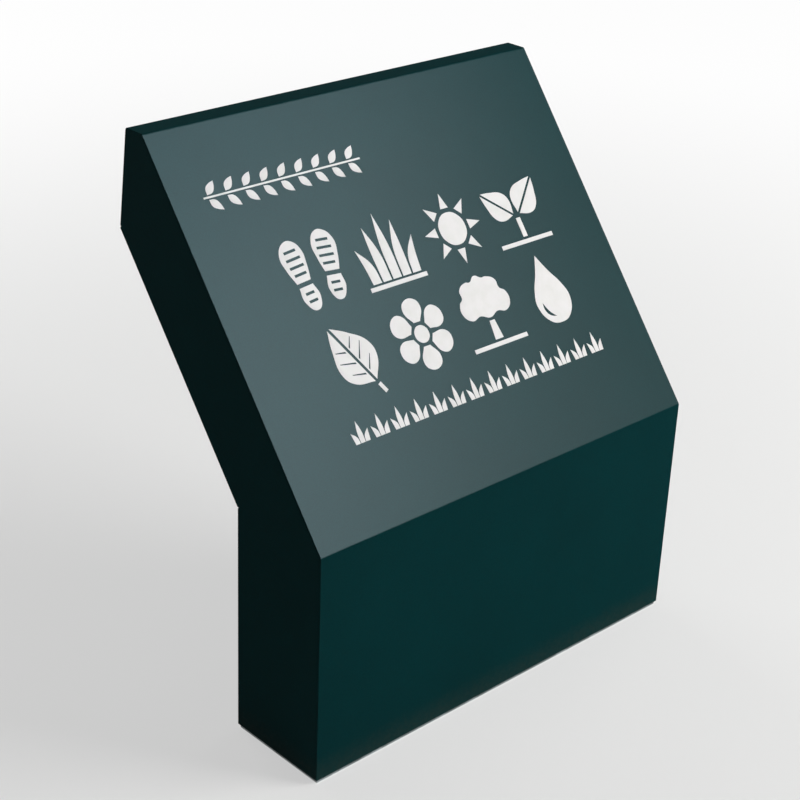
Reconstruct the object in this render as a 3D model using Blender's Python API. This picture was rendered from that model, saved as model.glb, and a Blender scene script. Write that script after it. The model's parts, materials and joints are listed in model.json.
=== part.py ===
"""Lawn sign: a folded steel body on an upright plinth, its slab leaning back above, over a tubular frame.

Metres, +Z up. The origin lies under the middle of the bounding box. The front faces -Y, and X runs along the
width.
Run with: blender --background --python part.py
"""

import math

import bmesh
import bpy
from mathutils import Matrix, Vector

# Outer form, measured on the sharp corners of the profile
WIDTH = 0.500
PLINTH_DEPTH = 0.1195
PLINTH_HEIGHT = 0.250
FACE_LENGTH = 0.4165
FACE_LEAN = math.radians(38.3)
TOP_DEPTH = 0.0255
END_LEAN = math.radians(7.5)

# Sheet metal
SHEET = 0.0015
BEND_RADIUS = 0.0015
BEND_STEPS = 4
CLEARANCE = 0.0003
SKIRT_GAP = 0.004
SIDE_FLANGE = 0.022
RELIEF_RADIUS = 0.003
STRIP_LEG = 0.024
COVER_EDGE_GAP = 0.0006

# Stiffeners behind the front sheet
HAT_CROWN = 0.034
HAT_FOOT = 0.016
LOWER_HAT_UP_FACE = 0.110
UPPER_HAT_BELOW_TOP = 0.116
PLINTH_HAT_BELOW_BEND = 0.130

# Inner frame
PLATE_THICKNESS = 0.012
TUBE = 0.030
TUBE_WALL = 0.002
TUBE_CORNER = 0.004
POST_FROM_SIDE = 0.120
ARM_END_GAP = 0.035
KNEE_PLATE = 0.004
KNEE_PLATE_WIDTH = 0.024
KNEE_PLATE_REACH = 0.062
RAIL_BELOW_KNEE = 0.085
GUSSET_THICKNESS = 0.004
GUSSET_LENGTH = 0.040
GUSSET_HEIGHT = 0.055
GUSSET_TOE = 0.006
SILL_LEG = 0.030
SILL_THICKNESS = 0.003

# Holes in the base plate
ANCHOR_HOLE = 0.014
ANCHOR_FROM_SIDE = 0.038
ANCHOR_FROM_MIDDLE = 0.017
DRAIN_HOLE = 0.010
DRAIN_FROM_SIDE = 0.205

# M8 bolts that hold the body down on the base plate
BOLT_SHANK = 0.008
BOLT_ACROSS_FLATS = 0.013
BOLT_HEAD = 0.0053
BOLT_FROM_SIDE = 0.150
BOLT_FROM_CORNER = 0.018

# M5 button-head screws and the rivet nuts that take them
SCREW_SHANK = 0.0048
SCREW_HEAD = 0.0095
SCREW_HEAD_HEIGHT = 0.0027
SCREW_LENGTH = 0.012
SCREW_SOCKET = 0.003
SOCKET_DEPTH = 0.0016
SCREW_END_DISTANCE = 0.034
RIVET_BODY = 0.0070
RIVET_LENGTH = 0.011
RIVET_COLLAR = 0.0098
RIVET_COLLAR_HEIGHT = 0.0032

ROUND_SIDES = 18
HOLE_SIDES = 16

# Everything below follows from the sizes above
SEAT = SHEET + CLEARANCE
UP_FACE = Vector((math.sin(FACE_LEAN), math.cos(FACE_LEAN)))
INTO_FACE = Vector((math.cos(FACE_LEAN), -math.sin(FACE_LEAN)))
DOWN_END = Vector((math.sin(END_LEAN), -math.cos(END_LEAN)))
PLATE_TOP = PLATE_THICKNESS + CLEARANCE
BETWEEN_FLANGES = WIDTH / 2 - SIDE_FLANGE - CLEARANCE
MIDDLE = PLINTH_DEPTH / 2
POST_X = WIDTH / 2 - POST_FROM_SIDE
ANCHOR_X = WIDTH / 2 - ANCHOR_FROM_SIDE
DRAIN_X = WIDTH / 2 - DRAIN_FROM_SIDE
BOLT_X = WIDTH / 2 - BOLT_FROM_SIDE
SCREW_X = WIDTH / 2 - SHEET - (SIDE_FLANGE - SHEET) / 2


def meet(point_a, direction_a, point_b, direction_b):
    """Where two lines in the profile's plane cross."""
    across = direction_a.x * direction_b.y - direction_a.y * direction_b.x
    apart = point_b - point_a
    along = (apart.x * direction_b.y - apart.y * direction_b.x) / across
    return point_a + direction_a * along


# Corners of the profile as (distance behind the plinth's front, height)
FRONT_FOOT = Vector((0, SKIRT_GAP))
FRONT_BEND = Vector((0, PLINTH_HEIGHT))
TOP_FRONT = FRONT_BEND + UP_FACE * FACE_LENGTH
TOP_REAR = TOP_FRONT + Vector((TOP_DEPTH, 0))
REAR_BEND = Vector((PLINTH_DEPTH, PLINTH_HEIGHT))
END_FOOT = meet(TOP_REAR, DOWN_END, REAR_BEND, UP_FACE)
REAR_FOOT = Vector((PLINTH_DEPTH, SKIRT_GAP))
BODY_DEPTH = END_FOOT.x
KNEE = Vector((MIDDLE, PLINTH_HEIGHT))


def in_part(x, point):
    """A profile point at width x, in the part's own frame."""
    return Vector((x, point.x - BODY_DEPTH / 2, point.y))


def turn_of(before, corner, after):
    """The turn of a path at a corner, positive to the left."""
    first = (corner - before).normalized()
    second = (after - corner).normalized()
    return math.atan2(first.x * second.y - first.y * second.x, first.dot(second))


def shifted(path, distance, closed=False):
    """The path moved sideways by a distance, positive to its left, with its corners mitred."""
    count = len(path)
    moved = []
    for i, point in enumerate(path):
        before = path[i - 1] if closed or i else None
        after = path[(i + 1) % count] if closed or i + 1 < count else None
        sides = []
        for start, end in ((before, point), (point, after)):
            if start is not None and end is not None:
                along = (end - start).normalized()
                sides.append((along, Vector((-along.y, along.x))))
        if len(sides) == 1:
            moved.append(point + sides[0][1] * distance)
        else:
            (along_a, left_a), (along_b, left_b) = sides
            moved.append(
                meet(point + left_a * distance, along_a, point + left_b * distance, along_b)
            )
    return moved


def rounded(path, left_radius, right_radius, closed=False, steps=BEND_STEPS):
    """The path with an arc at each corner, of one radius for left turns and another for right turns."""
    count = len(path)
    points = []
    for i, corner in enumerate(path):
        if not closed and i in (0, count - 1):
            points.append(corner)
            continue
        before, after = path[i - 1], path[(i + 1) % count]
        turn = turn_of(before, corner, after)
        radius = left_radius if turn > 0 else right_radius
        if radius <= 0:
            points.append(corner)
            continue
        reach = radius * math.tan(abs(turn) / 2)
        start = corner + (before - corner).normalized() * reach
        along = (corner - before).normalized()
        side = math.copysign(1, turn)
        centre = start + Vector((-along.y, along.x)) * radius * side
        for step in range(steps + 1):
            swing = Matrix.Rotation(turn * step / steps, 2)
            points.append(centre + swing @ (start - centre))
    return points


def new_object(name, mesh, material):
    obj = bpy.data.objects.new(name, mesh)
    bpy.context.collection.objects.link(obj)
    mesh.materials.append(material)
    return obj


def mesh_from(name, verts, faces):
    mesh = bpy.data.meshes.new(name)
    mesh.from_pydata([tuple(v) for v in verts], [], faces)
    work = bmesh.new()
    work.from_mesh(mesh)
    bmesh.ops.recalc_face_normals(work, faces=work.faces)
    work.to_mesh(mesh)
    work.free()
    return mesh


def prism(name, outline, x_from, x_to, material):
    """A closed outline in the profile's plane, extruded along the width."""
    count = len(outline)
    verts = [in_part(x, p) for x in (x_from, x_to) for p in outline]
    faces = [tuple(range(count)), tuple(range(count, 2 * count))]
    faces += [(i, (i + 1) % count, count + (i + 1) % count, count + i) for i in range(count)]
    return new_object(name, mesh_from(name, verts, faces), material)


def folded_sheet(name, path, thickness, radius, x_from, x_to, material):
    """Sheet folded along a path of its outer side, with its thickness to the right and real bend radii."""
    outer = rounded(path, radius, radius + thickness)
    inner = rounded(shifted(path, -thickness), radius + thickness, radius)
    return prism(name, outer + inner[::-1], x_from, x_to, material)


def lathe(name, rings, sides):
    """A turned mesh about +Z. A ring is (radius, height, flats), where 6 flats draw a hexagon."""
    verts = []
    for radius, height, flats in rings:
        for i in range(sides):
            angle = 2 * math.pi * i / sides
            reach = radius
            if flats:
                sector = 2 * math.pi / flats
                reach = radius * math.cos(sector / 2) / math.cos(angle % sector - sector / 2)
            verts.append((reach * math.cos(angle), reach * math.sin(angle), height))
    faces = []
    for ring in range(len(rings) - 1):
        for i in range(sides):
            j = (i + 1) % sides
            a, b = ring * sides, (ring + 1) * sides
            faces.append((a + i, a + j, b + j, b + i))
    return verts, faces


def turned(name, rings, sides, bored=False):
    """A turned solid, closed by flat ends or, where it is bored, by joining its last ring to its first."""
    verts, faces = lathe(name, rings, sides)
    last = (len(rings) - 1) * sides
    if bored:
        faces += [(last + i, last + (i + 1) % sides, (i + 1) % sides, i) for i in range(sides)]
    else:
        faces += [tuple(range(sides)), tuple(range(last, last + sides))]
    mesh = mesh_from(name, verts, faces)
    mesh.shade_smooth()
    mesh.set_sharp_from_angle(angle=math.radians(32))
    return mesh


def cut(obj, cutters):
    """Cuts the helpers out of the object and hides them."""
    for number, cutter in enumerate(cutters, 1):
        modifier = obj.modifiers.new(f"cut_{number}", "BOOLEAN")
        modifier.operation = "DIFFERENCE"
        modifier.solver = "EXACT"
        modifier.object = cutter
        cutter.hide_render = True
        cutter.display_type = "WIRE"


def drill(name, place, axis, radius, depth_in, depth_out, material):
    """A round cutter through place along axis, depth_out outwards and depth_in inwards."""
    rings = [(radius, -depth_in, 0), (radius, depth_out, 0)]
    cutter = new_object(name, turned(name, rings, HOLE_SIDES), material)
    cutter.matrix_world = aimed(place, axis)
    return cutter


def aimed(place, axis):
    """A matrix that stands local +Z along an axis at a place."""
    turn = Vector((0, 0, 1)).rotation_difference(axis).to_matrix().to_4x4()
    return Matrix.Translation(place) @ turn


def paint(name, hex_colour, roughness, metallic):
    material = bpy.data.materials.new(name)
    material.use_nodes = True
    shader = material.node_tree.nodes["Principled BSDF"]
    channels = [int(hex_colour[i : i + 2], 16) / 255 for i in (0, 2, 4)]
    linear = [c / 12.92 if c <= 0.04045 else ((c + 0.055) / 1.055) ** 2.4 for c in channels]
    shader.inputs["Base Color"].default_value = (*linear, 1)
    shader.inputs["Roughness"].default_value = roughness
    shader.inputs["Metallic"].default_value = metallic
    return material


def square_section(size, corner):
    half = size / 2
    square = [Vector((x * half, y * half)) for x, y in ((-1, -1), (1, -1), (1, 1), (-1, 1))]
    return rounded(square, corner, corner, closed=True, steps=2)


def tube_between(name, start, end, start_cut, end_cut, material):
    """Square tube from start to end. Each cut is the normal of the plane that ends the tube there."""
    along = (end - start).normalized()
    side = Vector((1, 0, 0)) if abs(along.x) < 0.5 else Vector((0, 0, 1))
    other = along.cross(side).normalized()
    side = other.cross(along)
    outer = square_section(TUBE, TUBE_CORNER)
    inner = square_section(TUBE - 2 * TUBE_WALL, TUBE_CORNER - TUBE_WALL)
    count = len(outer)
    verts = []
    for section, place, normal in (
        (outer, start, start_cut),
        (outer, end, end_cut),
        (inner, end, end_cut),
        (inner, start, start_cut),
    ):
        for p in section:
            offset = side * p.x + other * p.y
            verts.append(place + offset - along * (offset.dot(normal) / along.dot(normal)))
    faces = []
    for ring in range(4):
        for i in range(count):
            j = (i + 1) % count
            a, b = ring * count, (ring + 1) % 4 * count
            faces.append((a + i, a + j, b + j, b + i))
    return new_object(name, mesh_from(name, verts, faces), material)


def build_shell(coat, zinc):
    """The front sheet, the two side trays and the two rear covers."""
    slope_top = meet(END_FOOT - INTO_FACE * SEAT, UP_FACE, TOP_REAR, DOWN_END)
    folded_sheet(
        "front_skin",
        [FRONT_FOOT, FRONT_BEND, TOP_FRONT, TOP_REAR, slope_top],
        SHEET, BEND_RADIUS, -WIDTH / 2, WIDTH / 2, coat,
    )

    outline = [FRONT_FOOT, FRONT_BEND, TOP_FRONT, TOP_REAR, END_FOOT, REAR_BEND, REAR_FOOT]
    inset = shifted(outline, -SEAT)
    inset[0].y = inset[-1].y = SKIRT_GAP
    tray_corner = BEND_RADIUS - CLEARANCE
    tray = rounded(inset, 0, tray_corner)
    pocket = shifted(inset, -SHEET)
    pocket[0].y = pocket[-1].y = -SKIRT_GAP
    pocket = rounded(pocket, 0, 0)
    past_front, past_rear = -SHEET, PLINTH_DEPTH + SHEET
    under_flanges = [
        Vector((past_front, -SHEET)), Vector((past_rear, -SHEET)),
        Vector((past_rear, PLATE_TOP)), Vector((past_front, PLATE_TOP)),
    ]
    for side, sign in (("left", -1), ("right", 1)):
        outer_x, web_x = sign * WIDTH / 2, sign * (WIDTH / 2 - SHEET)
        rim_x = sign * (WIDTH / 2 - SIDE_FLANGE)
        past_rim_x = rim_x - sign * SHEET
        panel = prism(f"side_panel_{side}", tray, outer_x, rim_x, coat)
        cutters = [prism(f"cutter_pocket_{side}", pocket, web_x, past_rim_x, zinc)]
        cutters.append(prism(f"cutter_foot_{side}", under_flanges, web_x, past_rim_x, zinc))
        for number, corner in enumerate(inset[1:-1], 1):
            relief = drill(
                f"cutter_relief_{side}_{number}", in_part(web_x, corner), Vector((-sign, 0, 0)),
                RELIEF_RADIUS, 0, SIDE_FLANGE, zinc,
            )
            cutters.append(relief)
        for number, (place, outward) in enumerate(screw_places(), 1):
            cutters.append(drill(
                f"cutter_rivet_{side}_{number}", in_part(sign * SCREW_X, place), outward,
                RIVET_BODY / 2 + CLEARANCE, SIDE_FLANGE / 2, 0, zinc,
            ))
        cut(panel, cutters)

    slope_from = REAR_BEND + UP_FACE * COVER_EDGE_GAP
    plinth_from = REAR_BEND - Vector((0, COVER_EDGE_GAP))
    for name, start, end, places in (
        ("rear_slope_cover", END_FOOT, slope_from, slope_places()),
        ("rear_plinth_cover", plinth_from, REAR_FOOT, plinth_places()),
    ):
        cover = folded_sheet(name, [start, end], SHEET, BEND_RADIUS, -WIDTH / 2, WIDTH / 2, coat)
        holes = []
        for sign in (-1, 1):
            for number, (place, outward) in enumerate(places, 1):
                holes.append(drill(
                    f"cutter_{name}_{number}_{sign + 1}", in_part(sign * SCREW_X, place), outward,
                    SCREW_SHANK / 2 + CLEARANCE, 2 * SHEET, SHEET, zinc,
                ))
        cut(cover, holes)


def slope_places():
    """Screws along the slope cover: near each end and midway."""
    low = REAR_BEND + UP_FACE * SCREW_END_DISTANCE
    high = END_FOOT - UP_FACE * SCREW_END_DISTANCE
    outward = Vector((0, INTO_FACE.x, INTO_FACE.y))
    return [(low.lerp(high, share), outward) for share in (0, 0.5, 1)]


def plinth_places():
    """Screws along the plinth cover: near each end."""
    high = REAR_BEND.y - SCREW_END_DISTANCE
    low = PLATE_TOP + SCREW_END_DISTANCE
    outward = Vector((0, 1, 0))
    return [(Vector((PLINTH_DEPTH, z)), outward) for z in (high, low)]


def screw_places():
    return slope_places() + plinth_places()


def build_strips(zinc):
    """Folded strips between the side trays, which the covers and the sheet's edges seat on."""
    end_line = TOP_REAR - Vector((math.cos(END_LEAN), math.sin(END_LEAN))) * SEAT
    slope_line = REAR_BEND - INTO_FACE * SEAT
    lip = meet(end_line, DOWN_END, slope_line, UP_FACE)
    folded_sheet(
        "end_lip_strip", [lip - DOWN_END * STRIP_LEG, lip, lip - UP_FACE * STRIP_LEG],
        SHEET, BEND_RADIUS, -BETWEEN_FLANGES, BETWEEN_FLANGES, zinc,
    )
    rear_line = Vector((PLINTH_DEPTH - SEAT, 0))
    knee = meet(slope_line, UP_FACE, rear_line, Vector((0, 1)))
    folded_sheet(
        "rear_knee_strip", [knee + UP_FACE * STRIP_LEG, knee, knee - Vector((0, STRIP_LEG))],
        SHEET, BEND_RADIUS, -BETWEEN_FLANGES, BETWEEN_FLANGES, zinc,
    )
    for name, y, inward in (("front_sill", SEAT, 1), ("rear_sill", PLINTH_DEPTH - SEAT, -1)):
        corner = Vector((y, PLATE_TOP))
        path = [corner + Vector((inward * SILL_LEG, 0)), corner, corner + Vector((0, SILL_LEG))]
        if inward < 0:
            path.reverse()
        sill = folded_sheet(
            name, path, SILL_THICKNESS, SILL_THICKNESS, -BETWEEN_FLANGES, BETWEEN_FLANGES, zinc,
        )
        place = bolt_place(y, inward)
        cut(sill, [
            drill(
                f"cutter_{name}_{sign + 1}", in_part(sign * BOLT_X, place), Vector((0, 0, 1)),
                BOLT_SHANK / 2 + CLEARANCE, SILL_LEG / 2, SILL_LEG / 2, zinc,
            )
            for sign in (-1, 1)
        ])


def bolt_place(y, inward):
    return Vector((y + inward * BOLT_FROM_CORNER, PLATE_TOP))


def hat(name, foot, along, inward, depth, zinc):
    """A hat profile across the width, its feet on the sheet at foot and its crown at depth."""
    half = HAT_CROWN / 2
    toe = half + HAT_FOOT
    crown = depth - SHEET
    steps = [(-toe, 0), (-half, 0), (-half, crown), (half, crown), (half, 0), (toe, 0)]
    path = [foot + along * s + inward * d for s, d in steps]
    folded_sheet(name, path, SHEET, BEND_RADIUS, -BETWEEN_FLANGES, BETWEEN_FLANGES, zinc)


def build_stiffeners(zinc):
    """Hat profiles that keep the front sheet flat and rest on the frame's tubes."""
    slab = PLINTH_DEPTH * math.cos(FACE_LEAN)
    face_depth = slab / 2 - TUBE / 2 - SEAT - CLEARANCE
    plinth_depth = MIDDLE - TUBE / 2 - SEAT - CLEARANCE
    inner_face = FRONT_BEND + INTO_FACE * SEAT
    upper = FACE_LENGTH - UPPER_HAT_BELOW_TOP
    for name, up in (("lower_face_stiffener", LOWER_HAT_UP_FACE), ("upper_face_stiffener", upper)):
        hat(name, inner_face + UP_FACE * up, UP_FACE, INTO_FACE, face_depth, zinc)
    foot = Vector((SEAT, PLINTH_HEIGHT - PLINTH_HAT_BELOW_BEND))
    hat("plinth_stiffener", foot, Vector((0, 1)), Vector((1, 0)), plinth_depth, zinc)


def build_frame(zinc):
    """Base plate, posts, leaning arms, knee plates, cross rail and foot gussets."""
    plate_outline = [
        Vector((SEAT, 0)), Vector((PLINTH_DEPTH - SEAT, 0)),
        Vector((PLINTH_DEPTH - SEAT, PLATE_THICKNESS)), Vector((SEAT, PLATE_THICKNESS)),
    ]
    plate = prism("base_plate", plate_outline, -WIDTH / 2 + SEAT, WIDTH / 2 - SEAT, zinc)
    holes = []
    up = Vector((0, 0, 1))
    for sign in (-1, 1):
        spots = [
            ("anchor_front", ANCHOR_X, MIDDLE - ANCHOR_FROM_MIDDLE, ANCHOR_HOLE / 2),
            ("anchor_rear", ANCHOR_X, MIDDLE + ANCHOR_FROM_MIDDLE, ANCHOR_HOLE / 2),
            ("drain", DRAIN_X, MIDDLE, DRAIN_HOLE / 2),
            ("bolt_front", BOLT_X, bolt_place(SEAT, 1).x, BOLT_SHANK / 2 + CLEARANCE),
            ("bolt_rear", BOLT_X, bolt_place(PLINTH_DEPTH - SEAT, -1).x, BOLT_SHANK / 2 + CLEARANCE),
        ]
        for name, x, y, radius in spots:
            holes.append(drill(
                f"cutter_{name}_{sign + 1}", in_part(sign * x, Vector((y, 0))), up,
                radius, PLATE_THICKNESS, 2 * PLATE_THICKNESS, zinc,
            ))
    cut(plate, holes)

    mitre = Vector((0, *(Vector((0, 1)) + UP_FACE).normalized()))
    arm_way = Vector((0, *UP_FACE))
    end_reach = (meet(KNEE, UP_FACE, TOP_REAR, DOWN_END) - KNEE).length - ARM_END_GAP
    gap = mitre * (CLEARANCE / 2)
    for side, sign in (("left", -1), ("right", 1)):
        x = sign * POST_X
        foot = in_part(x, Vector((MIDDLE, PLATE_TOP)))
        knee = in_part(x, KNEE)
        tube_between(f"post_{side}", foot, knee - gap, up, mitre, zinc)
        tube_between(f"arm_{side}", knee + gap, knee + arm_way * end_reach, mitre, arm_way, zinc)

        half = KNEE_PLATE_WIDTH / 2
        spine = [KNEE - Vector((0, KNEE_PLATE_REACH)), KNEE, KNEE + UP_FACE * KNEE_PLATE_REACH]
        boomerang = shifted(spine, half) + shifted(spine, -half)[::-1]
        inner_side = x - sign * (TUBE / 2 + CLEARANCE)
        prism(f"knee_plate_{side}", boomerang, inner_side, inner_side - sign * KNEE_PLATE, zinc)

        for place, way in (("inner", -sign), ("outer", sign)):
            gusset(f"foot_gusset_{side}_{place}", x + way * (TUBE / 2 + CLEARANCE), way, zinc)

    rail_height = Vector((MIDDLE, PLINTH_HEIGHT - RAIL_BELOW_KNEE))
    rail_end = POST_X - TUBE / 2 - CLEARANCE
    left_end, right_end = in_part(-rail_end, rail_height), in_part(rail_end, rail_height)
    along = Vector((1, 0, 0))
    tube_between("cross_rail", left_end, right_end, along, along, zinc)


def gusset(name, x, way, zinc):
    """A triangular plate between a post's side and the base plate, with a blunt toe."""
    corners = [
        (0, 0), (GUSSET_LENGTH, 0), (GUSSET_LENGTH, GUSSET_TOE),
        (GUSSET_TOE, GUSSET_HEIGHT), (0, GUSSET_HEIGHT),
    ]
    verts = []
    for y in (MIDDLE - GUSSET_THICKNESS / 2, MIDDLE + GUSSET_THICKNESS / 2):
        verts += [in_part(x + way * reach, Vector((y, PLATE_TOP + rise))) for reach, rise in corners]
    count = len(corners)
    faces = [tuple(range(count)), tuple(range(count, 2 * count))]
    faces += [(i, (i + 1) % count, count + (i + 1) % count, count + i) for i in range(count)]
    new_object(name, mesh_from(name, verts, faces), zinc)


def build_fasteners(steel, zinc):
    """Cover screws with their rivet nuts, and the bolts that hold the sills to the base plate."""
    head, shank = SCREW_HEAD / 2, SCREW_SHANK / 2
    socket = SCREW_SOCKET / 2 / math.cos(math.pi / 6)
    crown_top = CLEARANCE + SCREW_HEAD_HEIGHT
    screw_mesh = turned("button_screw", [
        (shank, -SCREW_LENGTH, 0),
        (shank, CLEARANCE, 0),
        (head, CLEARANCE, 0),
        (head * 0.97, CLEARANCE + SCREW_HEAD_HEIGHT * 0.35, 0),
        (head * 0.80, CLEARANCE + SCREW_HEAD_HEIGHT * 0.75, 0),
        (head * 0.55, crown_top, 0),
        (socket, crown_top, 6),
        (socket, crown_top - SOCKET_DEPTH, 6),
    ], ROUND_SIDES)
    bore = shank + CLEARANCE
    collar_from = -SEAT - SHEET - CLEARANCE
    rivet_mesh = turned("rivet_nut", [
        (bore, -SEAT, 0),
        (RIVET_BODY / 2, -SEAT, 0),
        (RIVET_BODY / 2, collar_from, 0),
        (RIVET_COLLAR / 2, collar_from, 0),
        (RIVET_COLLAR / 2, collar_from - RIVET_COLLAR_HEIGHT, 0),
        (RIVET_BODY / 2, collar_from - RIVET_COLLAR_HEIGHT * 1.4, 0),
        (RIVET_BODY / 2, -SEAT - RIVET_LENGTH, 0),
        (bore, -SEAT - RIVET_LENGTH, 0),
    ], HOLE_SIDES, bored=True)
    for cover, places in (("slope", slope_places()), ("plinth", plinth_places())):
        for side, sign in (("left", -1), ("right", 1)):
            for number, (place, outward) in enumerate(places, 1):
                at = aimed(in_part(sign * SCREW_X, place), outward)
                for kind, mesh, material in (("screw", screw_mesh, steel), ("rivet_nut", rivet_mesh, zinc)):
                    obj = new_object(f"{cover}_{kind}_{side}_{number}", mesh.copy(), material)
                    obj.matrix_world = at

    corner = BOLT_ACROSS_FLATS / 2 / math.cos(math.pi / 6)
    under_head = SILL_THICKNESS + CLEARANCE
    bolt_mesh = turned("sill_bolt", [
        (BOLT_SHANK / 2, -PLATE_THICKNESS, 0),
        (BOLT_SHANK / 2, under_head, 0),
        (corner, under_head, 6),
        (corner, under_head + BOLT_HEAD * 0.85, 6),
        (BOLT_ACROSS_FLATS / 2 * 0.95, under_head + BOLT_HEAD, 0),
    ], ROUND_SIDES)
    for row, y, inward in (("front", SEAT, 1), ("rear", PLINTH_DEPTH - SEAT, -1)):
        for side, sign in (("left", -1), ("right", 1)):
            bolt = new_object(f"sill_bolt_{row}_{side}", bolt_mesh.copy(), zinc)
            bolt.location = in_part(sign * BOLT_X, bolt_place(y, inward))


def clear_scene():
    for obj in list(bpy.data.objects):
        bpy.data.objects.remove(obj, do_unlink=True)


def main():
    clear_scene()
    coat = paint("dark teal powder coat", "0B3235", 0.42, 0.0)
    zinc = paint("hot-dip galvanised steel", "8D9291", 0.55, 0.9)
    steel = paint("stainless steel", "A9ABAB", 0.3, 1.0)
    build_shell(coat, zinc)
    build_strips(zinc)
    build_stiffeners(zinc)
    build_frame(zinc)
    build_fasteners(steel, zinc)


main()
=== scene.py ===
import json
import math

import bpy
from mathutils import Matrix, Vector


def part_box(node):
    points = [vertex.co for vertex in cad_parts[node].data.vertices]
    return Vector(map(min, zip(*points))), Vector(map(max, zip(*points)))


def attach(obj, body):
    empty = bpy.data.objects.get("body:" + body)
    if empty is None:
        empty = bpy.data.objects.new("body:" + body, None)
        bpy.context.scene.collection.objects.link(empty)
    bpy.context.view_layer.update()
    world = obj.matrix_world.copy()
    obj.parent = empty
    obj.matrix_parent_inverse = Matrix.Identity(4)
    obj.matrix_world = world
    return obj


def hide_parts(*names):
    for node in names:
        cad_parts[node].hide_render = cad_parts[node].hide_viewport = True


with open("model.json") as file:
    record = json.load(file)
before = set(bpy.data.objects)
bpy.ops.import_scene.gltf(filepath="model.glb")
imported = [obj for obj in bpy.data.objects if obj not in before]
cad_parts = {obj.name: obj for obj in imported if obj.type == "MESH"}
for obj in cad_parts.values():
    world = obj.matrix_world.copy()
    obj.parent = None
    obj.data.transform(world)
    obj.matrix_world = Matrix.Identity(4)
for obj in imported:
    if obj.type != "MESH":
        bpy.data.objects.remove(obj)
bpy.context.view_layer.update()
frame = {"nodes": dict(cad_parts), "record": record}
print("lawn sign: frame loaded,", len(frame["nodes"]), "nodes")

mm = 0.001
touch = 0.001 * mm  # points nearer than this are at one place


# Places taken from the frame

faceMount = next(m for m in frame["record"]["mounts"] if m["name"] == "sign_face")
faceNormal = Vector(faceMount["axis"]).normalized()
faceUp = faceNormal.cross(Vector((1, 0, 0)))  # up the leaning face, square to the width
skinLow = Vector(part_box("front_skin")[0])
faceCentre = Vector(faceMount["pos_m"])
halfLength = (faceCentre.y - skinLow.y) / faceUp.y  # from the face's middle down to the fold
faceCorner = Vector((skinLow.x, faceCentre.y, faceCentre.z)) - faceUp * halfLength
faceMatrix = Matrix.Translation(faceCorner) @ Matrix((
    (1, 0, 0, 0),
    (0, faceUp.y, faceNormal.y, 0),
    (0, faceUp.z, faceNormal.z, 0),
    (0, 0, 0, 1),
))


# Colours and nodes

def hexColour(text):
    channels = [int(text[i:i + 2], 16) / 255 for i in (0, 2, 4)]
    return (*(c / 12.92 if c <= 0.04045 else ((c + 0.055) / 1.055) ** 2.4 for c in channels), 1)


def addNode(tree, kind, inputs=None, **settings):
    node = tree.nodes.new("ShaderNode" + kind)
    for key, value in settings.items():
        setattr(node, key, value)
    for key, value in (inputs or {}).items():
        if isinstance(value, bpy.types.NodeSocket):
            tree.links.new(value, node.inputs[key])
        else:
            node.inputs[key].default_value = value
    return node


def newMaterial(name):
    material = bpy.data.materials.new(name)
    material.use_nodes = True
    tree = material.node_tree
    tree.nodes.clear()
    return material, tree


# Dark teal polyester powder coat, sprayed dry and baked: an even satin skin with a faint orange peel,
# cloudy by a shade over a hand's width, dusty where it faces up and splashed with soil at the foot.
coat = {
    "deep": "02292b",
    "light": "023032",
    "cloudSize": 95 * mm,
    "grainSize": 1.3 * mm,  # of the finest colour speckle, drawn coarse enough to show
    "grainShare": 0.10,
    "peelSize": 2.6 * mm,
    "peelDepth": 0.034 * mm,
    "dust": "6f746c",
    "dustShare": 0.016,
    "dustPatch": 28 * mm,
    "soil": "4b4636",
    "soilHeight": 46 * mm,
    "soilDrop": 5 * mm,
    "soilShare": 0.16,
    "roughness": (0.412, 0.428),  # a range here and in the other finishes, smooth to dull
    "gloss": 0.026,  # share of the skin that mirrors, low enough to keep the sides deep in a pale studio
    "glossRoughness": 0.30,
    "glossIor": 2.0,
}


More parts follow.
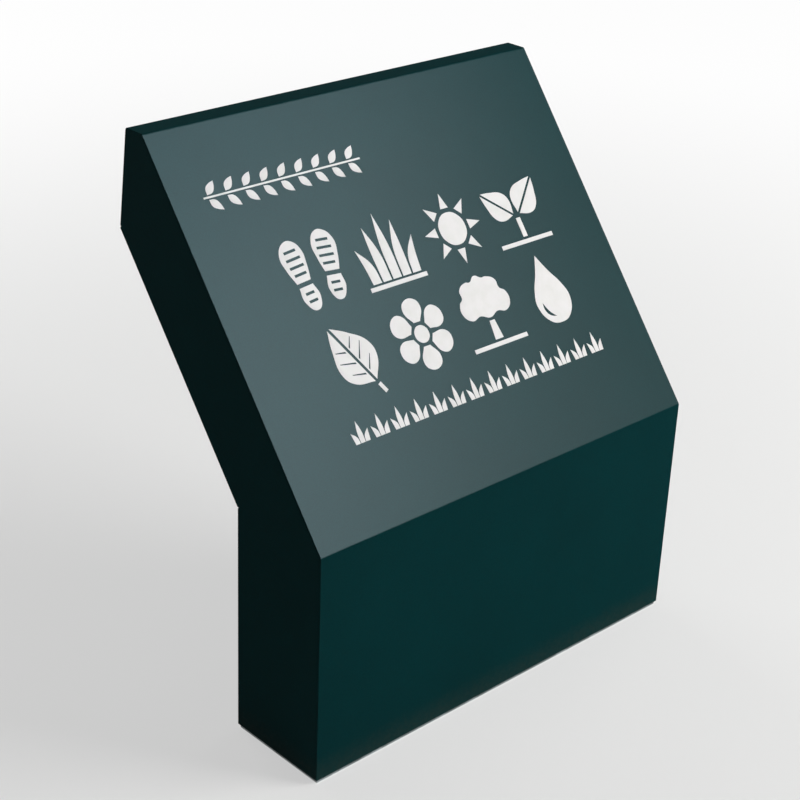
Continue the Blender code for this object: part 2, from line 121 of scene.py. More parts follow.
def makeCoat():
    material, tree = newMaterial("dark_teal_powder_coat")
    place = addNode(tree, "TexCoord").outputs["Object"]
    cloud = addNode(tree, "TexNoise", {"Vector": place, "Scale": 1 / coat["cloudSize"], "Detail": 4.0})
    tone = addNode(tree, "Mix", {
        "Factor": cloud.outputs["Fac"], 6: hexColour(coat["deep"]), 7: hexColour(coat["light"]),
    }, data_type="RGBA")

    grain = addNode(tree, "TexNoise", {"Vector": place, "Scale": 1 / coat["grainSize"], "Detail": 2.0})
    speckle = addNode(tree, "MapRange", {
        "Value": grain.outputs["Fac"], "From Min": 0.3, "From Max": 0.7,
        "To Min": 1 - coat["grainShare"], "To Max": 1 + coat["grainShare"],
    })
    speckled = addNode(tree, "VectorMath", {
        0: tone.outputs[2], "Scale": speckle.outputs["Result"],
    }, operation="SCALE")

    # dust settles where the skin faces up
    facing = addNode(tree, "SeparateXYZ", {"Vector": addNode(tree, "NewGeometry").outputs["Normal"]})
    upward = addNode(tree, "MapRange", {
        "Value": facing.outputs["Z"], "From Min": 0.1, "From Max": 1.0, "To Max": coat["dustShare"],
    })
    drift = addNode(tree, "TexNoise", {"Vector": place, "Scale": 1 / coat["dustPatch"], "Detail": 5.0})
    settled = addNode(tree, "Math", {
        0: upward.outputs["Result"], 1: drift.outputs["Fac"],
    }, operation="MULTIPLY")
    dusty = addNode(tree, "Mix", {
        "Factor": settled.outputs["Value"], 6: speckled.outputs["Vector"], 7: hexColour(coat["dust"]),
    }, data_type="RGBA")

    # soil thrown up by rain, in drops that thin out with height
    height = addNode(tree, "SeparateXYZ", {"Vector": place})
    low = addNode(tree, "MapRange", {
        "Value": height.outputs["Z"], "From Min": 0.0, "From Max": coat["soilHeight"],
        "To Min": 1.0, "To Max": 0.0,
    }, interpolation_type="SMOOTHSTEP")
    drops = addNode(tree, "TexNoise", {
        "Vector": place, "Scale": 1 / coat["soilDrop"], "Detail": 3.0, "Roughness": 0.65,
    })
    reach = addNode(tree, "Math", {0: drops.outputs["Fac"], 1: low.outputs["Result"]}, operation="MULTIPLY")
    splash = addNode(tree, "MapRange", {
        "Value": reach.outputs["Value"], "From Min": 0.12, "From Max": 0.62, "To Max": coat["soilShare"],
    })
    soiled = addNode(tree, "Mix", {
        "Factor": splash.outputs["Result"], 6: dusty.outputs[2], 7: hexColour(coat["soil"]),
    }, data_type="RGBA")

    peel = addNode(tree, "TexNoise", {"Vector": place, "Scale": 1 / coat["peelSize"], "Detail": 1.5})
    bump = addNode(tree, "Bump", {
        "Height": peel.outputs["Fac"], "Distance": coat["peelDepth"], "Strength": 0.6,
    })
    sheen = addNode(tree, "MapRange", {
        "Value": cloud.outputs["Fac"], "From Min": 0.3, "From Max": 0.7,
        "To Min": coat["roughness"][0], "To Max": coat["roughness"][1],
    })
    rough = addNode(tree, "Math", {0: sheen.outputs["Result"], 1: splash.outputs["Result"]}, operation="ADD")
    shader = addNode(tree, "BsdfPrincipled", {
        "Base Color": soiled.outputs[2], "Roughness": rough.outputs["Value"],
        "Normal": bump.outputs["Normal"], "Specular IOR Level": 0.0,
        "Coat Weight": coat["gloss"], "Coat Roughness": coat["glossRoughness"],
        "Coat IOR": coat["glossIor"], "Coat Normal": bump.outputs["Normal"],
    })
    addNode(tree, "OutputMaterial", {"Surface": shader.outputs["BSDF"]})
    return material


# Hot-dip galvanised mild steel, dull after a year outdoors: grey spangle, each crystal a shade apart.
zinc = {
    "dark": "636969",
    "pale": "858b8b",
    "spangleSize": 11 * mm,
    "grainSize": 0.9 * mm,
    "grainDepth": 0.03 * mm,
    "roughness": (0.38, 0.56),
    "metallic": 0.9,
}


def makeZinc():
    material, tree = newMaterial("hot_dip_galvanised_steel")
    place = addNode(tree, "TexCoord").outputs["Object"]
    spangle = addNode(tree, "TexVoronoi", {"Vector": place, "Scale": 1 / zinc["spangleSize"]})
    grey = addNode(tree, "RGBToBW", {"Color": spangle.outputs["Color"]})
    tone = addNode(tree, "Mix", {
        "Factor": grey.outputs["Val"], 6: hexColour(zinc["dark"]), 7: hexColour(zinc["pale"]),
    }, data_type="RGBA")
    rough = addNode(tree, "MapRange", {
        "Value": grey.outputs["Val"],
        "To Min": zinc["roughness"][0], "To Max": zinc["roughness"][1],
    })
    grain = addNode(tree, "TexNoise", {"Vector": place, "Scale": 1 / zinc["grainSize"], "Detail": 2.0})
    bump = addNode(tree, "Bump", {
        "Height": grain.outputs["Fac"], "Distance": zinc["grainDepth"], "Strength": 0.4,
    })
    shader = addNode(tree, "BsdfPrincipled", {
        "Base Color": tone.outputs[2], "Roughness": rough.outputs["Result"],
        "Normal": bump.outputs["Normal"], "Metallic": zinc["metallic"],
    })
    addNode(tree, "OutputMaterial", {"Surface": shader.outputs["BSDF"]})
    return material


# A2 stainless steel, cold headed and tumbled: bright, with fine handling marks. Its sockets get painted
# shade: near black, dull and not metal, where the piece's own attribute says.
stainless = {
    "dark": "747573",
    "pale": "939492",
    "markSize": 0.7 * mm,
    "markDepth": 0.01 * mm,
    "roughness": (0.20, 0.36),
    # painted shade for the sockets, near black
    "socketShade": "141311",
    "socketShadeRoughness": 0.8,
}


def makeStainless():
    material, tree = newMaterial("cold_headed_stainless_steel")
    place = addNode(tree, "TexCoord").outputs["Object"]
    marks = addNode(tree, "TexNoise", {"Vector": place, "Scale": 1 / stainless["markSize"], "Detail": 4.0})
    tone = addNode(tree, "Mix", {
        "Factor": marks.outputs["Fac"], 6: hexColour(stainless["dark"]), 7: hexColour(stainless["pale"]),
    }, data_type="RGBA")
    rough = addNode(tree, "MapRange", {
        "Value": marks.outputs["Fac"],
        "To Min": stainless["roughness"][0], "To Max": stainless["roughness"][1],
    })
    # painted shade in the socket: near black, dull and not metal where the attribute is 1
    socketShade = addNode(tree, "Attribute", attribute_name="socketShade").outputs["Fac"]
    shadedTone = addNode(tree, "Mix", {
        "Factor": socketShade, 6: tone.outputs[2], 7: hexColour(stainless["socketShade"]),
    }, data_type="RGBA")
    shadedRough = addNode(tree, "Mix", {
        "Factor": socketShade, "A": rough.outputs["Result"], "B": stainless["socketShadeRoughness"],
    })
    unshaded = addNode(tree, "Math", {0: 1.0, 1: socketShade}, operation="SUBTRACT")
    bump = addNode(tree, "Bump", {
        "Height": marks.outputs["Fac"], "Distance": stainless["markDepth"], "Strength": 0.3,
    })
    shader = addNode(tree, "BsdfPrincipled", {
        "Base Color": shadedTone.outputs[2], "Roughness": shadedRough.outputs[0],
        "Normal": bump.outputs["Normal"], "Metallic": unshaded.outputs["Value"],
    })
    addNode(tree, "OutputMaterial", {"Surface": shader.outputs["BSDF"]})
    return material


# Cast white vinyl film, plotter cut and rubbed down: a clean, slightly warm white, smoother than the coat.
film = {
    "white": "dddbda",
    "worn": "d6d5d2",
    "cloudSize": 14 * mm,
    "peelSize": 2.6 * mm,  # the coat's peel, which shows through
    "peelDepth": 0.008 * mm,
    "roughness": (0.36, 0.46),
    "gloss": 0.026,
    "glossRoughness": 0.30,
    "glossIor": 2.0,
    "thickness": 0.22 * mm,  # real film is 0.1 mm, doubled so that its edge holds in the render
    "lift": 0.01 * mm,  # clear of the coat
}


def makeFilm():
    material, tree = newMaterial("cast_white_vinyl_film")
    place = addNode(tree, "TexCoord").outputs["Object"]
    cloud = addNode(tree, "TexNoise", {"Vector": place, "Scale": 1 / film["cloudSize"], "Detail": 5.0})
    soft = addNode(tree, "MapRange", {"Value": cloud.outputs["Fac"], "From Min": 0.42, "From Max": 0.75})
    tone = addNode(tree, "Mix", {
        "Factor": soft.outputs["Result"], 6: hexColour(film["white"]), 7: hexColour(film["worn"]),
    }, data_type="RGBA")
    peel = addNode(tree, "TexNoise", {"Vector": place, "Scale": 1 / film["peelSize"], "Detail": 1.5})
    bump = addNode(tree, "Bump", {
        "Height": peel.outputs["Fac"], "Distance": film["peelDepth"], "Strength": 0.5,
    })
    rough = addNode(tree, "MapRange", {
        "Value": cloud.outputs["Fac"],
        "To Min": film["roughness"][0], "To Max": film["roughness"][1],
    })
    shader = addNode(tree, "BsdfPrincipled", {
        "Base Color": tone.outputs[2], "Roughness": rough.outputs["Result"],
        "Normal": bump.outputs["Normal"], "Specular IOR Level": 0.0,
        "Coat Weight": film["gloss"], "Coat Roughness": film["glossRoughness"],
        "Coat IOR": film["glossIor"], "Coat Normal": bump.outputs["Normal"],
    })
    addNode(tree, "OutputMaterial", {"Surface": shader.outputs["BSDF"]})
    return material


# Dark green polymer sealant, gunned in and tooled with a wet finger: rubbery and almost dull, softly
# rippled along the joint.
sealant = {
    "dark": "07100f",
    "pale": "0e1b1b",
    "rippleSize": 7 * mm,
    "rippleDepth": 0.1 * mm,
    "roughness": 0.55,
    "gloss": 0.06,
}


def makeSealant():
    material, tree = newMaterial("dark_green_polymer_sealant")
    place = addNode(tree, "TexCoord").outputs["Object"]
    ripple = addNode(tree, "TexNoise", {"Vector": place, "Scale": 1 / sealant["rippleSize"], "Detail": 2.0})
    tone = addNode(tree, "Mix", {
        "Factor": ripple.outputs["Fac"], 6: hexColour(sealant["dark"]), 7: hexColour(sealant["pale"]),
    }, data_type="RGBA")
    bump = addNode(tree, "Bump", {
        "Height": ripple.outputs["Fac"], "Distance": sealant["rippleDepth"], "Strength": 0.5,
    })
    shader = addNode(tree, "BsdfPrincipled", {
        "Base Color": tone.outputs[2], "Roughness": sealant["roughness"],
        "Normal": bump.outputs["Normal"], "Specular IOR Level": sealant["gloss"],
    })
    addNode(tree, "OutputMaterial", {"Surface": shader.outputs["BSDF"]})
    return material


coatMaterial, zincMaterial, sealantMaterial = makeCoat(), makeZinc(), makeSealant()
stainlessMaterial, filmMaterial = makeStainless(), makeFilm()
coated = ("front_skin", "side_panel", "rear_slope_cover", "rear_plinth_cover")
for name, node in frame["nodes"].items():
    finish = zincMaterial
    if name.startswith(coated):
        finish = coatMaterial
    elif "_screw_" in name:
        finish = stainlessMaterial
    for materialSlot in node.material_slots:
        materialSlot.link = "OBJECT"
        materialSlot.material = finish
print("finishes on the frame's nodes")


# Helpers for new pieces

def selectOnly(obj):
    bpy.ops.object.select_all(action="DESELECT")
    obj.select_set(True)
    bpy.context.view_layer.objects.active = obj


def cleanMesh(obj):
    selectOnly(obj)
    bpy.ops.object.mode_set(mode="EDIT")
    bpy.ops.mesh.select_all(action="SELECT")
    bpy.ops.mesh.remove_doubles(threshold=2 * touch)
    bpy.ops.mesh.normals_make_consistent(inside=False)
    bpy.ops.object.mode_set(mode="OBJECT")


def drawSolid(name, outlines, depth, place):
    # a flat curve with closed outlines in millimetres, filled, made solid and set in its place
    bpy.ops.object.select_all(action="DESELECT")
    bpy.ops.curve.primitive_bezier_circle_add(radius=1)
    drawn = bpy.context.object
    drawn.name = name
    drawn.data.splines.clear()
    drawn.data.dimensions = "2D"
    drawn.data.fill_mode = "BOTH"
    drawn.data.resolution_u = 14
    drawn.data.extrude = depth / 2
    for points in outlines:
        spline = drawn.data.splines.new("BEZIER")
        spline.bezier_points.add(len(points) - 1)
        spline.use_cyclic_u = True
        for point, (x, y, kind) in zip(spline.bezier_points, points):
            point.co = (x * mm, y * mm, 0)
            point.handle_left_type = point.handle_right_type = "AUTO" if kind == "r" else "VECTOR"
    selectOnly(drawn)
    bpy.ops.object.convert(target="MESH")
    drawn = bpy.context.object
    drawn.data.transform(place)
    cleanMesh(drawn)
    return drawn


def finishPiece(obj, material):
    obj.data.materials.clear()
    obj.data.materials.append(material)
    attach(obj, "root")


# White film pictograms on the leaning face. An outline is closed, in millimetres about the pictogram's
# middle, and each of its points is x, y and a letter: r for a round point, c for a sharp corner.
pictograms = {
    "columns": (122, 211, 302, 391),  # across the face from its left edge
    "rows": (251, 161),  # up the face from the fold
    "bandFoot": 83.5,  # up the face from the fold, and from where to where across it
    "bandFrom": 82,
    "bandTo": 433,
    "bandTufts": 14,
    "bandTuft": {"blades": 3, "spread": 10.4, "height": 21.5, "width": 5.4, "root": 0.58},
    "sprigHeight": 344.5,  # of its stem, up the face from the fold
    "sprigFrom": 35,
    "sprigTo": 226,
    "sprigPairs": 9,
    "sprigStem": 1.8,
    "sprigLean": 46,  # of its leaves from its stem, in degrees
    "sprigGap": 2.3,  # from the stem's middle to a leaf's stalk
    "veinFrom": 3.2,  # out from the midrib's middle
}


def turnedPoints(points, degrees, shift=(0, 0), size=1.0, mirror=1):
    swing = Matrix.Rotation(math.radians(degrees), 2)
    turned = []
    for x, y, kind in points:
        spot = swing @ Vector((x * size * mirror, y * size)) + Vector(shift)
        turned.append((spot.x, spot.y, kind))
    return turned


def moved(outlines, dx, dy, degrees=0, size=1.0, mirror=1):
    # a mirror of -1 turns the outlines over, left for right
    return [turnedPoints(points, degrees, (dx, dy), size, mirror) for points in outlines]


def bar(x, y, width, height):
    w, h = width / 2, height / 2
    return [(x - w, y - h, "c"), (x + w, y - h, "c"), (x + w, y + h, "c"), (x - w, y + h, "c")]


def disc(x, y, radius):
    angles = [math.tau * i / 8 for i in range(8)]
    return [(x + math.cos(a) * radius, y + math.sin(a) * radius, "r") for a in angles]


def leafHalf(length, width, gap):
    # one side of a leaf from its stalk at the origin up to its tip, clear of the midrib
    return [
        (gap, length * 0.05, "c"), (width * 0.86, length * 0.26, "r"), (width, length * 0.46, "r"),
        (width * 0.55, length * 0.78, "r"), (gap, length, "c"),
    ]


def leaf(length, width, gap=1.3):
    return [leafHalf(length, width, gap), *moved([leafHalf(length, width, gap)], 0, 0, mirror=-1)]


def vein(foot, width, rise, side):
    # a slot that narrows from the midrib out and up towards the leaf's edge
    inner = side * pictograms["veinFrom"]
    outer = side * (pictograms["veinFrom"] + width)
    return [
        (inner, foot, "c"), (outer, foot + rise - 0.2, "c"), (outer, foot + rise + 0.9, "c"),
        (inner, foot + 2.2, "c"),
    ]


def blade(foot, tip, width):
    # a grass blade that leaves the ground upright and bends over to its tip
    lean = tip[0] - foot
    middle = (foot + lean * 0.24, tip[1] * 0.52)
    return [
        (foot - width / 2, 0, "c"), (foot + width / 2, 0, "c"),
        (middle[0] + width * 0.46, middle[1], "r"), (tip[0], tip[1], "c"),
        (middle[0] - width * 0.46, middle[1], "r"),
    ]


def tuft(blades, spread, height, width, root=0.6):
    outlines = []
    for i in range(blades):
        side = 2 * i / (blades - 1) - 1
        rise = height * (1 - 0.45 * abs(side) ** 1.5)
        outlines.append(blade(side * spread * root, (side * spread, rise), width))
    return outlines


def drawFilm(name, outlines, u, v):
    lift = film["thickness"] / 2 + film["lift"]
    place = faceMatrix @ Matrix.Translation((u * mm, v * mm, lift))
    finishPiece(drawSolid(name, outlines, film["thickness"], place), filmMaterial)


soleFront = [
    (-3, 36, "r"), (-13.5, 25, "r"), (-13, 9, "r"), (-9, -6, "c"),
    (8.5, -6, "c"), (12.5, 9, "r"), (14, 24, "r"), (7, 35, "r"),
]
soleHeel = [(-8.8, -10.5, "c"), (8.4, -10.5, "c"), (10.2, -25, "r"), (0.5, -36, "r"), (-9.8, -25, "r")]
treads = [
    bar(0.3, y, width, 2.8)
    for y, width in ((26, 15), (18, 18), (10, 18), (2, 15), (-18, 11), (-26, 11))
]
sole = [soleFront, soleHeel, *treads]
ray = [(-5.2, 22, "c"), (5.2, 22, "c"), (0, 38, "c")]
petal = [(-4.2, 12.5, "c"), (4.2, 12.5, "c"), (11.5, 26, "r"), (7, 35, "r"), (-7, 35, "r"), (-11.5, 26, "r")]
crown = [
    (-12, -3, "r"), (-24, -5, "r"), (-33, 4, "r"), (-31, 15, "r"), (-26, 19, "r"), (-25, 28, "r"),
    (-14, 34, "r"), (-8, 33, "r"), (0, 38, "r"), (9, 34, "r"), (14, 34, "r"), (25, 28, "r"),
    (26, 19, "r"), (32, 14, "r"), (33, 3, "r"), (24, -5, "r"), (12, -3, "r"), (0, -7, "r"),
]
trunk = [(-5.5, -30, "c"), (5.5, -30, "c"), (3.4, -10, "c"), (-3.4, -10, "c")]
ground = bar(0, -35, 74, 4.4)
drop = [
    (0, 38, "c"), (9, 20, "r"), (20, 2, "r"), (24, -13, "r"), (15, -31, "r"),
    (0, -36, "r"), (-15, -31, "r"), (-24, -13, "r"), (-20, 2, "r"), (-9, 20, "r"),
]
glint = [
    (-15.8, -10.4, "c"), (-16.4, -18.6, "r"), (-11.8, -25.6, "r"), (-3.4, -28.6, "c"), (-9.3, -23.2, "r"),
    (-13.0, -17.6, "r"),
]
veins = [
    vein(foot, width, width * 0.8, side)
    for foot, width in ((14, 13), (28, 15), (42, 10))
    for side in (-1, 1)
]
artwork = {
    "soles": moved(sole, -18.5, -1.5, 5, 0.98) + moved(sole, 18.5, 1.5, -5, 0.98, -1),
    "grass": moved(tuft(5, 37, 68, 10.8, 0.70), 0, -30.5) + [ground],
    "sun": [disc(0, 0, 17.5)] + [turnedPoints(ray, 45 * i) for i in range(8)],
    "sprout": moved(leaf(50, 17), 2.6, -6, -46) + moved(leaf(46, 16), -2.6, -6, 49)
    + [bar(0, -19.5, 6, 21), ground],
    "leaf": moved([*leaf(70, 25, 1.6), *veins], 17, -30, 27) + moved([bar(0, -6, 4.2, 11)], 17, -30, 27),
    "flower": [turnedPoints(petal, 60 * i) for i in range(6)] + [disc(0, 0, 9)],
    "tree": [crown, trunk, ground],
    "drop": [drop, glint],
}
layout = (("soles", "grass", "sun", "sprout"), ("leaf", "flower", "tree", "drop"))
for v, names in zip(pictograms["rows"], layout):
    for u, name in zip(pictograms["columns"], names):
        drawFilm("film_" + name, artwork[name], u, v)

bandStep = (pictograms["bandTo"] - pictograms["bandFrom"]) / pictograms["bandTufts"]
bandOutlines = []
for i in range(pictograms["bandTufts"]):
    middle = pictograms["bandFrom"] + bandStep * (i + 0.5)
    bandOutlines += moved(tuft(**pictograms["bandTuft"]), middle, 0)
drawFilm("film_grass_band", bandOutlines, 0, pictograms["bandFoot"])

smallLeaf = [
    (0, 0, "c"), (3.9, 5.5, "r"), (3.1, 11.5, "r"), (0, 17, "c"), (-3.1, 11.5, "r"), (-3.9, 5.5, "r"),
]
sprigLength = pictograms["sprigTo"] - pictograms["sprigFrom"]
sprigStep = sprigLength / pictograms["sprigPairs"]
sprigMiddle = (pictograms["sprigFrom"] + pictograms["sprigTo"]) / 2
sprigOutlines = [bar(sprigMiddle, 0, sprigLength, pictograms["sprigStem"])]
for i in range(pictograms["sprigPairs"]):
    stalk = pictograms["sprigFrom"] + sprigStep * (i + 0.25)
    for side in (-1, 1):
        swing = -90 + pictograms["sprigLean"] * side
        sprigOutlines.append(turnedPoints(smallLeaf, swing, (stalk, pictograms["sprigGap"] * side)))
drawFilm("film_sprig", sprigOutlines, 0, pictograms["sprigHeight"])
print("white film pictograms")


# Sealant in the two joints of the rear covers: drawn as a section behind (y) and above (z) a corner of the
# covers, in millimetres, with its open side hollowed, and run across the width.
joints = {
    "run": 499.0,  # across the width, clear of the sides
    "sheet": 1.5,
    "edgeGap": 0.6,  # between the covers' edges
    "end": (  # from the slope cover's upper edge to the front sheet's lower edge
        (-0.12, 0.12, "c"), (-0.62, 1.28, "r"), (-0.42, 2.46, "c"), (-1.83, 2.28, "c"), (-1.80, 1.30, "c"),
        (-1.19, 0.92, "c"),
    ),
    "bend": (  # between the slope cover and the plinth cover
        (0.34, 0.45, "c"), (-0.22, -0.02, "r"), (-0.05, -0.58, "c"), (-1.52, -0.58, "c"), (-1.76, 0.10, "c"),
        (-0.83, 1.38, "c"),
    ),
}
slopeCoverHigh = Vector(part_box("rear_slope_cover")[1])
plinthCoverHigh = Vector(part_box("rear_plinth_cover")[1])
corners = {
    "end": (slopeCoverHigh.y, slopeCoverHigh.z - joints["sheet"] * mm * faceNormal.z),
    "bend": (plinthCoverHigh.y, plinthCoverHigh.z + joints["edgeGap"] * mm),
}
for joint, (y, z) in corners.items():
    place = Matrix(((0, 0, 1, 0), (1, 0, 0, y), (0, 1, 0, z), (0, 0, 0, 1)))  # drawn x, y become y, z
    bead = drawSolid(joint + "_joint_sealant", [joints[joint]], joints["run"] * mm, place)
    finishPiece(bead, sealantMaterial)


# M5 button-head screws with a hexagon socket, one modelled and ten copied on to the frame's screws. Its
# axis is Z and it stands on the cover at z = 0. The dome is radius and height, in millimetres.
screw = {
    "sides": 36,  # six times a whole number, for the socket's flats
    "dome": (
        (4.62, 0.02), (4.75, 0.16), (4.75, 0.48), (4.64, 0.98), (4.32, 1.55), (3.78, 2.10), (3.05, 2.57),
        (2.45, 2.84), (2.30, 2.90),
    ),
    "acrossFlats": 3.0,
    "socketMouth": 1.06,  # times the hexagon, at the top of its chamfer
    "socketChamfer": 0.10,
    "socketDepth": 1.6,
    "drillInset": 0.45,  # the drill's cone in the socket's floor
    "drillDepth": 0.25,
    "shank": 2.35,
    "shankLength": 11.4,
    "tipLength": 0.6,
    "tipScale": 0.8,
    "smoothAngle": 32,
    "height": 3.0,  # of the frame's screw heads over the cover
    "turn": 37,  # each is tightened to its own angle
}


def selectPoints(obj, test):
    # in edit mode, only the points that pass the test
    bpy.ops.object.mode_set(mode="OBJECT")
    for face in obj.data.polygons:
        face.select = False
    for edge in obj.data.edges:
        edge.select = False
    for point in obj.data.vertices:
        point.select = test(point.co)
    bpy.ops.object.mode_set(mode="EDIT")
    bpy.ops.mesh.select_mode(type="VERT")


def rise(height, scale=1.0):
    bpy.ops.mesh.extrude_region_move(TRANSFORM_OT_translate={"value": (0, 0, height)})
    bpy.ops.transform.resize(value=(scale, scale, 1))


def modelScrew():
    dome = screw["dome"]
    bpy.ops.object.select_all(action="DESELECT")
    bpy.ops.mesh.primitive_circle_add(
        vertices=screw["sides"], radius=dome[0][0] * mm, fill_type="NGON", location=(0, 0, dome[0][1] * mm),
    )
    model = bpy.context.object
    bpy.ops.object.transform_apply(location=True, rotation=True, scale=True)
    bpy.ops.object.mode_set(mode="EDIT")
    for (radius, height), (nextRadius, nextHeight) in zip(dome, dome[1:]):
        rise((nextHeight - height) * mm, nextRadius / radius)
    bpy.ops.mesh.delete(type="ONLY_FACE")

    # the socket's hexagon, joined point for point to the dome's rim, with a small chamfer and a drilled floor
    corner = screw["acrossFlats"] / 2 / math.cos(math.pi / 6) * mm
    mouth = corner * screw["socketMouth"]
    rim, top = dome[-1][0] * mm, dome[-1][1] * mm
    bpy.ops.mesh.select_all(action="DESELECT")
    bpy.ops.mesh.primitive_circle_add(vertices=6, radius=mouth, location=(0, 0, top))
    bpy.ops.mesh.subdivide(number_cuts=screw["sides"] // 6 - 1)
    selectPoints(model, lambda p: p.z > top - touch)
    bpy.ops.mesh.bridge_edge_loops()
    selectPoints(model, lambda p: p.z > top - touch and math.hypot(p.x, p.y) < (mouth + rim) / 2)
    rise(-screw["socketChamfer"] * mm, 1 / screw["socketMouth"])
    rise(-screw["socketDepth"] * mm)
    bpy.ops.mesh.edge_face_add()
    bpy.ops.mesh.inset(thickness=screw["drillInset"] * mm)
    bpy.ops.transform.translate(value=(0, 0, -screw["drillDepth"] * mm))

    # the shank, down from the seat
    selectPoints(model, lambda p: p.z < dome[0][1] * mm + touch)
    bpy.ops.mesh.inset(thickness=(dome[0][0] - screw["shank"]) * mm)
    rise(-screw["shankLength"] * mm)
    rise(-screw["tipLength"] * mm, screw["tipScale"])
    bpy.ops.object.mode_set(mode="OBJECT")
    cleanMesh(model)
    bpy.ops.object.shade_smooth_by_angle(angle=math.radians(screw["smoothAngle"]))

    # painted shade: the socket below its chamfer is marked to be coloured near black and dull, as the shade
    # deep in it
    socketShade = model.data.attributes.new("socketShade", "FLOAT", "POINT")
    shadeTop = top - screw["socketChamfer"] * mm / 2
    for point, mark in zip(model.data.vertices, socketShade.data):
        inside = math.hypot(point.co.x, point.co.y) < corner + touch
        mark.value = 1.0 if inside and 0 < point.co.z < shadeTop else 0.0
    return model


model = modelScrew()
screwNames = sorted(name for name in frame["nodes"] if "_screw_" in name)
for i, name in enumerate(screwNames):
    outward = -faceNormal if name.startswith("slope") else Vector((0, 1, 0))
    points = [point.co for point in frame["nodes"][name].data.vertices]
    top = max(p.dot(outward) for p in points)
    crown = [p for p in points if top - p.dot(outward) < 0.01 * mm]
    middle = Vector([(min(p[k] for p in crown) + max(p[k] for p in crown)) / 2 for k in range(3)])
    swing = Vector((0, 0, 1)).rotation_difference(outward).to_matrix().to_4x4()
    piece = bpy.data.objects.new("button_head_" + name, model.data.copy())
    bpy.context.collection.objects.link(piece)
    piece.data.transform(
        Matrix.Translation(middle - outward * screw["height"] * mm) @ swing
        @ Matrix.Rotation(math.radians(screw["turn"] * i), 4, "Z")
    )
    finishPiece(piece, stainlessMaterial)
    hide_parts(name)
bpy.data.objects.remove(model)
print("joint sealant and", len(screwNames), "screws")


# Studio: pale floor, soft lamps, camera at the photograph's angle

studio = {
    "floor": "cacac8",
    "floorRadius": 40.0,
    "floorSides": 96,
    "floorDrop": 0.2 * mm,  # clear of the base plate's underside
    "glowNear": 0.52,  # share of white that the floor adds to what is seen of it, by the sign and far off
    "glowFar": 0.97,
    "glowReach": (0.5, 2.4),
    "aim": Vector((0, 0, 0.32)),
    "lampDistance": 3.0,
    "softboxes": {  # the key lights the front, the others the back and the right side
        "key_softbox": {"way": Vector((0.57, -0.65, 0.47)), "size": 1.6, "power": 105.0, "inGloss": True},
        "rear_softbox": {"way": Vector((0.0, 1.0, 0.20)), "size": 1.9, "power": 55.0, "inGloss": False},
        "side_softbox": {"way": Vector((1.0, 0.08, 0.20)), "size": 1.9, "power": 30.0, "inGloss": False},
    },
    "panels": {"gloss_panel_right": 1, "gloss_panel_middle": 0, "gloss_panel_left": -1},
    "panelWay": Vector((0.460, -0.600, 0.645)),  # where the leaning face mirrors the camera
    "panelWidth": 1.1,
    "panelHeight": 2.3,
    "panelRoll": -45,
    "panelPower": 241.0,
    "panelColour": (0.92, 1.01, 1.10),
    "skyAngle": 70,
    "skyStrength": 0.22,
    "worldSeen": 0.97,  # the backdrop as the camera and the gloss see it, greyer overhead
    "worldOverhead": 0.30,
    "worldFade": (0.35, 0.80),  # how far up it starts and stops to turn grey, as the sine of the angle
    "worldLight": 0.03,  # the light that it gives
}


def seenShare(tree):
    # 1 where a surface is seen directly, in a reflection or through glass, 0 where it only gives light
    path = addNode(tree, "LightPath")
    seen = addNode(tree, "Math", {
        0: path.outputs["Is Camera Ray"], 1: path.outputs["Is Glossy Ray"],
    }, operation="ADD")
    seenToo = addNode(tree, "Math", {
        0: seen.outputs["Value"], 1: path.outputs["Is Transmission Ray"],
    }, operation="ADD", use_clamp=True)
    return seenToo.outputs["Value"]


def makeFloor():
    material, tree = newMaterial("matt_studio_floor")
    diffuse = addNode(tree, "BsdfDiffuse", {"Color": hexColour(studio["floor"])})
    glow = addNode(tree, "Emission", {"Color": (1, 1, 1, 1), "Strength": 1.0})
    place = addNode(tree, "TexCoord").outputs["Object"]
    distance = addNode(tree, "VectorMath", {0: place}, operation="LENGTH")
    level = addNode(tree, "MapRange", {
        "Value": distance.outputs["Value"],
        "From Min": studio["glowReach"][0], "From Max": studio["glowReach"][1],
        "To Min": studio["glowNear"], "To Max": studio["glowFar"],
    }, interpolation_type="SMOOTHSTEP")
    share = addNode(tree, "Math", {0: seenShare(tree), 1: level.outputs["Result"]}, operation="MULTIPLY")
    mixed = addNode(tree, "MixShader", {
        "Fac": share.outputs["Value"], 1: diffuse.outputs["BSDF"], 2: glow.outputs["Emission"],
    })
    addNode(tree, "OutputMaterial", {"Surface": mixed.outputs["Shader"]})
    bpy.ops.object.select_all(action="DESELECT")
    bpy.ops.mesh.primitive_circle_add(
        vertices=studio["floorSides"], radius=studio["floorRadius"], fill_type="NGON",
        location=(0, 0, -studio["floorDrop"]),
    )
    floor = bpy.context.object
    floor.name = "studio_floor"
    floor.data.materials.append(material)


def makeWorld():
    world = bpy.data.worlds.new("studio_world")
    bpy.context.scene.world = world
    world.use_nodes = True
    tree = world.node_tree
    tree.nodes.clear()
    way = addNode(tree, "SeparateXYZ", {"Vector": addNode(tree, "TexCoord").outputs["Generated"]})
    backdrop = addNode(tree, "MapRange", {
        "Value": way.outputs["Z"], "From Min": studio["worldFade"][0], "From Max": studio["worldFade"][1],
        "To Min": studio["worldSeen"], "To Max": studio["worldOverhead"],
    }, interpolation_type="SMOOTHSTEP")
    level = addNode(tree, "MapRange", {
        "Value": seenShare(tree), "To Min": studio["worldLight"], "To Max": backdrop.outputs["Result"],
    })
    ground = addNode(tree, "Background", {"Color": (1, 1, 1, 1), "Strength": level.outputs["Result"]})
    addNode(tree, "OutputWorld", {"Surface": ground.outputs["Background"]})


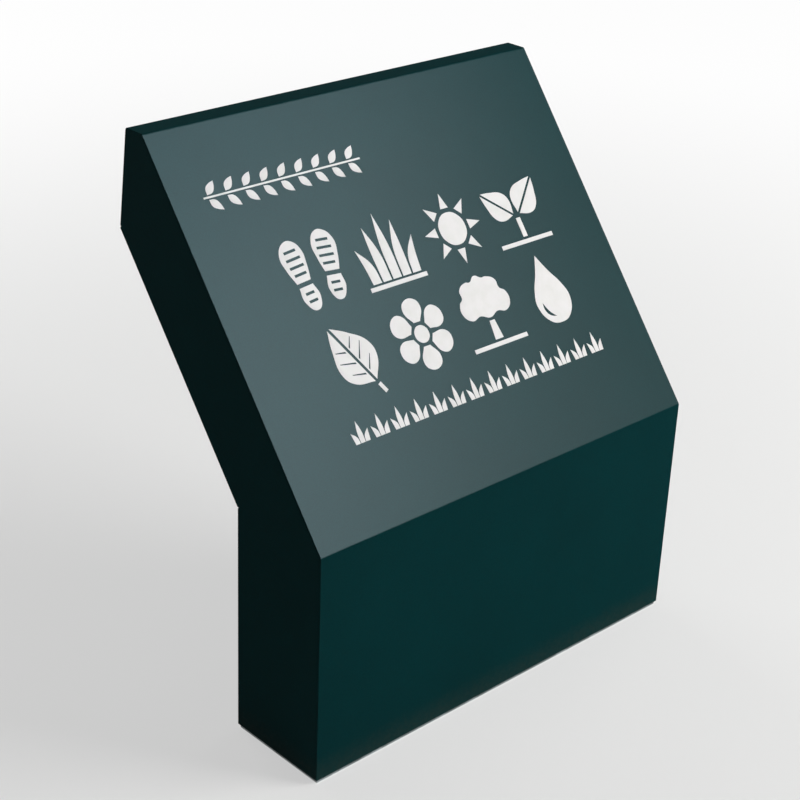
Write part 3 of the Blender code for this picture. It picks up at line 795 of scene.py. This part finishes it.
def addLamp(name, kind, place, target, settings, roll=0):
    lamp = bpy.data.objects.new(name, bpy.data.lights.new(name, kind))
    bpy.context.collection.objects.link(lamp)
    for key, value in settings.items():
        setattr(lamp.data, key, value)
    aimed = (Vector(target) - Vector(place)).to_track_quat("-Z", "Y").to_matrix().to_4x4()
    lamp.matrix_world = Matrix.Translation(place) @ aimed @ Matrix.Rotation(math.radians(roll), 4, "Z")
    return lamp


makeFloor()
makeWorld()
aim = studio["aim"]
for name, box in studio["softboxes"].items():
    lamp = addLamp(name, "AREA", aim + box["way"].normalized() * studio["lampDistance"], aim, {
        "shape": "SQUARE", "size": box["size"], "energy": box["power"],
    })
    lamp.visible_glossy = box["inGloss"]
# a panel on each hand and one between them, which only show in the gloss, as the pale sky does on the
# leaning face
for name, side in studio["panels"].items():
    way = studio["panelWay"] * Vector((side, 1, 1))
    panel = addLamp(name, "AREA", aim + way.normalized() * studio["lampDistance"], aim, {
        "shape": "RECTANGLE", "size": studio["panelWidth"], "size_y": studio["panelHeight"],
        "energy": studio["panelPower"], "color": studio["panelColour"],
    }, studio["panelRoll"] * side)
    panel.visible_diffuse = False
addLamp("sky_panel", "SUN", (0, 0, 3), (0, 0, 0), {
    "angle": math.radians(studio["skyAngle"]), "energy": studio["skyStrength"],
})

view = {
    "spot": Vector((-1.18295, -1.20929, 1.10692)),
    "turn": -43.936,
    "tilt": 26.228,
    "roll": 2.406,
    "lens": 82.956,
}
bpy.ops.object.select_all(action="DESELECT")
bpy.ops.object.camera_add()
camera = bpy.context.object
camera.name = "photo_camera"
camera.data.sensor_width = 36
camera.data.lens = view["lens"]
camera.matrix_world = (
    Matrix.Translation(view["spot"])
    @ Matrix.Rotation(math.radians(view["turn"]), 4, "Z")
    @ Matrix.Rotation(math.radians(90 - view["tilt"]), 4, "X")
    @ Matrix.Rotation(math.radians(view["roll"]), 4, "Z")
)
bpy.context.scene.camera = camera
bpy.context.scene.view_settings.view_transform = "Standard"
print("studio and camera")
